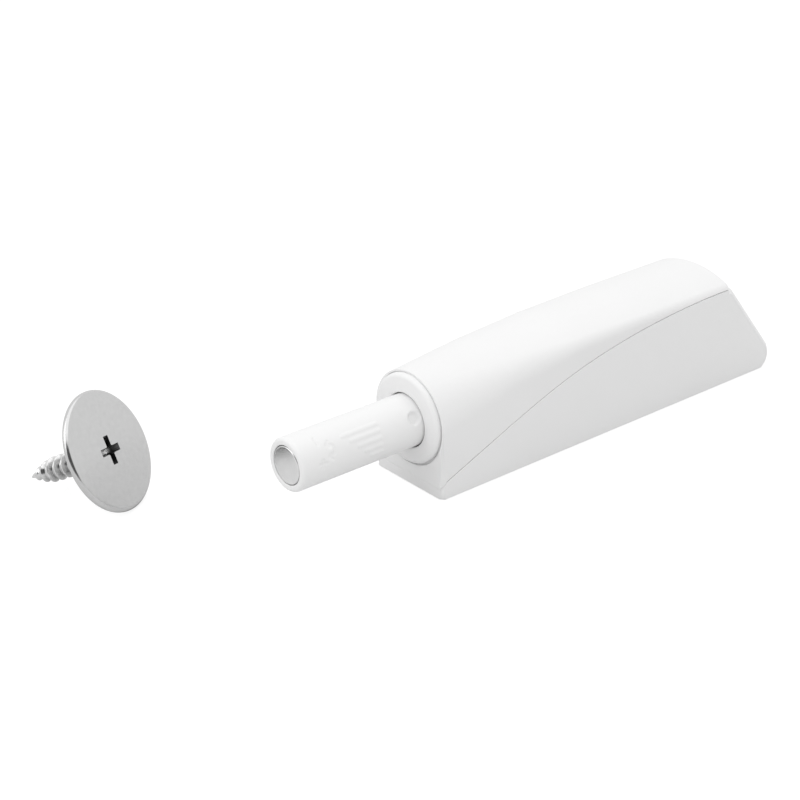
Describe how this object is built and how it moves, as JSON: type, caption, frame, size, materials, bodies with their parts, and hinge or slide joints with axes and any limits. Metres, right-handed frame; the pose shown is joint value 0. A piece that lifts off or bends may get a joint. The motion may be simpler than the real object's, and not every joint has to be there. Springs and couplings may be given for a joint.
{
  "type": "cupboard catch latch",
  "caption": "Magnetic push latch for a cupboard door: surface housing, sprung plunger with magnet tip, and screw-in round strike plate.",
  "frame": {"origin": "on the mounting face, midway between the two base screw holes", "axes": "+X from the plunger's tip towards the housing's tail, +Z away from the mounting face"},
  "size_m": [0.1141, 0.0412, 0.0184],
  "materials": {
    "white_plastic": "fine matt moulded surface",
    "natural_plastic": "natural acetal, slightly waxy",
    "spring_steel": "drawn wire",
    "cup_steel": "bright nickel plate",
    "magnet_nickel": "ground face with a thin plate",
    "strike_nickel": "satin nickel plate"
  },
  "bodies": {
    "housing": {"base": "white_plastic", "cover": "white_plastic", "cartridge_barrel": "white_plastic", "end_cap": "white_plastic", "main_spring": "spring_steel", "strike_plate": "strike_nickel"},
    "slider": {"latch_slider": "natural_plastic"},
    "magnet_set": {"pole_cup": "cup_steel", "magnet": "magnet_nickel", "pole_plate": "magnet_nickel"},
    "sleeve": {"plunger_sleeve": "white_plastic"},
    "follower": {"follower_pin": "spring_steel"}
  },
  "joints": [
    {"name": "plunger_slide", "type": "slide", "parent": "housing", "child": "slider", "axis": [1, 0, 0], "range_m": [0, 0.019], "stiffness_N_per_m": 60, "springref_m": -0.01, "deforming": ["main_spring"]},
    {"name": "tip_travel", "type": "slide", "parent": "slider", "child": "magnet_set", "axis": [1, 0, 0], "range_m": [-0.002, 0.002]},
    {"name": "tip_turn", "type": "hinge", "parent": "magnet_set", "child": "sleeve", "pos_m": [-0.04, 0, 0.0102], "axis": [1, 0, 0], "range_deg": [-180, 180]},
    {"name": "follower_swing", "type": "hinge", "parent": "housing", "child": "follower", "pos_m": [0.0203, -0.0013, 0.0127], "axis": [0, 0, -1], "range_deg": [0, 6.35]}
  ],
  "couplings": [
    {"joint": "tip_turn", "follows": "tip_travel", "rad_per_m": 1570.8}
  ]
}
